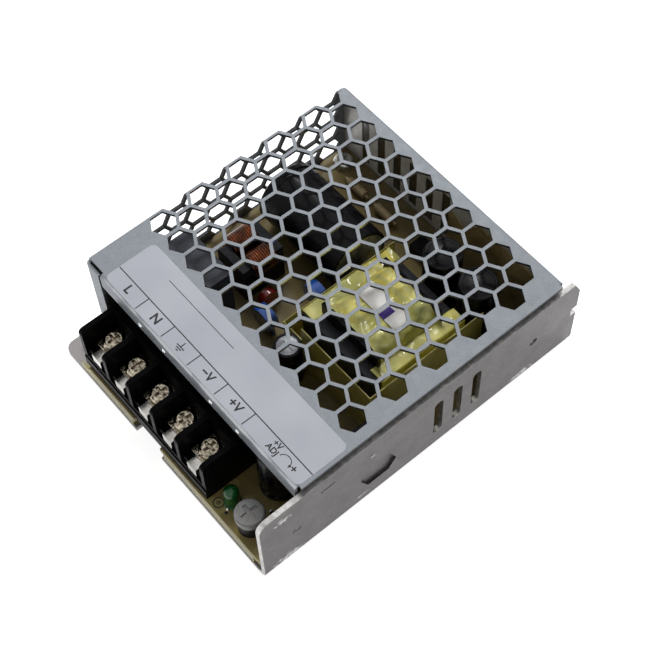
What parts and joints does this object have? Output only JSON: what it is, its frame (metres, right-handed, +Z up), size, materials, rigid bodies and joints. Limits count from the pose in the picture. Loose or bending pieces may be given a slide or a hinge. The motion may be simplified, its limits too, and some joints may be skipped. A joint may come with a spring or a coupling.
{
  "type": "mesh case switching power supply",
  "caption": "Enclosed switching power supply with a honeycomb steel cover, an open aluminium base and a screw terminal block at one end.",
  "frame": {"origin": "middle of the bottom face that the case rests on", "axes": "+Y along the case away from the terminals, +X towards the folded side wall, +Z up"},
  "size_m": [0.082, 0.099, 0.0301],
  "materials": {
    "raw_aluminium": "raw rolled sheet, folded, with light handling marks",
    "galvanised_steel": "electro-galvanised sheet with a fine dull spangle",
    "label_film": "printed silver-grey polyester label film",
    "clear_film": "clear polyester insulation film, olive yellow",
    "board_laminate": "single-sided tan laminate board",
    "zinc_steel": "zinc plated steel",
    "terminal_plastic": "moulded black thermoplastic",
    "tinned_brass": "tin plated brass",
    "nickel_steel": "nickel plated steel",
    "green_lens": "green tinted epoxy lens",
    "trimmer_black": "moulded black plastic",
    "trimmer_grey": "moulded grey plastic cap",
    "black_plastic": "moulded black plastic",
    "blue_coating": "dipped blue epoxy coating",
    "dark_coating": "dipped dark green coating",
    "red_coating": "dipped dark red epoxy coating",
    "grey_case": "moulded dark grey box case",
    "ferrite": "ground and sintered ferrite",
    "copper_wire": "enamelled copper wire",
    "can_sleeve": "shrunk black sleeve on an aluminium can",
    "yellow_tape": "yellow polyester winding tape",
    "resistor_body": "painted resistor body",
    "grey_pad": "grey silicone pad",
    "solder": "bright solder"
  },
  "bodies": {
    "root": {"base_chassis": "raw_aluminium", "mesh_cover": "galvanised_steel", "front_label": "label_film", "transformer_strip": "label_film", "bottom_insulation": "clear_film", "transformer_insulation": "clear_film", "rear_insulation": "clear_film", "circuit_board": "board_laminate", "board_spacers": "zinc_steel", "board_screws": "zinc_steel", "cover_screws": "zinc_steel", "terminal_housing": "terminal_plastic", "contact_plates": "tinned_brass", "indicator_lamp": "green_lens", "trimmer_base": "trimmer_black", "input_fuse": "black_plastic", "choke_base": "black_plastic", "bridge_rectifier": "black_plastic", "transformer_bobbin": "black_plastic", "switching_transistor": "black_plastic", "output_rectifier": "black_plastic", "feedback_coupler": "black_plastic", "controller_chip": "black_plastic", "safety_capacitors": "blue_coating", "surge_absorber": "blue_coating", "inrush_limiter": "dark_coating", "snubber_capacitor": "red_coating", "film_capacitor": "grey_case", "choke_core": "ferrite", "transformer_core": "ferrite", "output_choke_core": "ferrite", "choke_windings": "copper_wire", "output_choke_winding": "copper_wire", "bulk_capacitor": "can_sleeve", "front_capacitor": "can_sleeve", "output_capacitors": "can_sleeve", "supply_capacitor": "can_sleeve", "transformer_winding": "yellow_tape", "axial_resistors": "resistor_body", "surface_parts": "resistor_body", "heat_pads": "grey_pad", "solder_joints": "solder"},
    "washer_1": {"terminal_washer_1": "nickel_steel"},
    "screw_1": {"terminal_screw_1": "nickel_steel"},
    "washer_2": {"terminal_washer_2": "nickel_steel"},
    "screw_2": {"terminal_screw_2": "nickel_steel"},
    "washer_3": {"terminal_washer_3": "nickel_steel"},
    "screw_3": {"terminal_screw_3": "nickel_steel"},
    "washer_4": {"terminal_washer_4": "nickel_steel"},
    "screw_4": {"terminal_screw_4": "nickel_steel"},
    "washer_5": {"terminal_washer_5": "nickel_steel"},
    "screw_5": {"terminal_screw_5": "nickel_steel"},
    "trimmer_cap": {"trimmer_rotor": "trimmer_grey"}
  },
  "joints": [
    {"name": "terminal_lift_1", "type": "slide", "parent": "root", "child": "washer_1", "axis": [0, 0, 1], "range_m": [0, 0.003]},
    {"name": "terminal_turn_1", "type": "hinge", "parent": "washer_1", "child": "screw_1", "pos_m": [-0.02505, -0.0425, 0.0156], "axis": [0, 0, 1], "range_deg": [0, 1801]},
    {"name": "terminal_lift_2", "type": "slide", "parent": "root", "child": "washer_2", "axis": [0, 0, 1], "range_m": [0, 0.003]},
    {"name": "terminal_turn_2", "type": "hinge", "parent": "washer_2", "child": "screw_2", "pos_m": [-0.0155, -0.0425, 0.0156], "axis": [0, 0, 1], "range_deg": [0, 1801]},
    {"name": "terminal_lift_3", "type": "slide", "parent": "root", "child": "washer_3", "axis": [0, 0, 1], "range_m": [0, 0.003]},
    {"name": "terminal_turn_3", "type": "hinge", "parent": "washer_3", "child": "screw_3", "pos_m": [-0.00595, -0.0425, 0.0156], "axis": [0, 0, 1], "range_deg": [0, 1801]},
    {"name": "terminal_lift_4", "type": "slide", "parent": "root", "child": "washer_4", "axis": [0, 0, 1], "range_m": [0, 0.003]},
    {"name": "terminal_turn_4", "type": "hinge", "parent": "washer_4", "child": "screw_4", "pos_m": [0.0036, -0.0425, 0.0156], "axis": [0, 0, 1], "range_deg": [0, 1801]},
    {"name": "terminal_lift_5", "type": "slide", "parent": "root", "child": "washer_5", "axis": [0, 0, 1], "range_m": [0, 0.003]},
    {"name": "terminal_turn_5", "type": "hinge", "parent": "washer_5", "child": "screw_5", "pos_m": [0.01315, -0.0425, 0.0156], "axis": [0, 0, 1], "range_deg": [0, 1801]},
    {"name": "trimmer_turn", "type": "hinge", "parent": "root", "child": "trimmer_cap", "pos_m": [0.0306, -0.045, 0.0113], "axis": [0, 0, 1], "range_deg": [-105, 105]}
  ],
  "couplings": [
    {"joint": "terminal_turn_1", "follows": "terminal_lift_1", "rad_per_m": 10472},
    {"joint": "terminal_turn_2", "follows": "terminal_lift_2", "rad_per_m": 10472},
    {"joint": "terminal_turn_3", "follows": "terminal_lift_3", "rad_per_m": 10472},
    {"joint": "terminal_turn_4", "follows": "terminal_lift_4", "rad_per_m": 10472},
    {"joint": "terminal_turn_5", "follows": "terminal_lift_5", "rad_per_m": 10472}
  ]
}
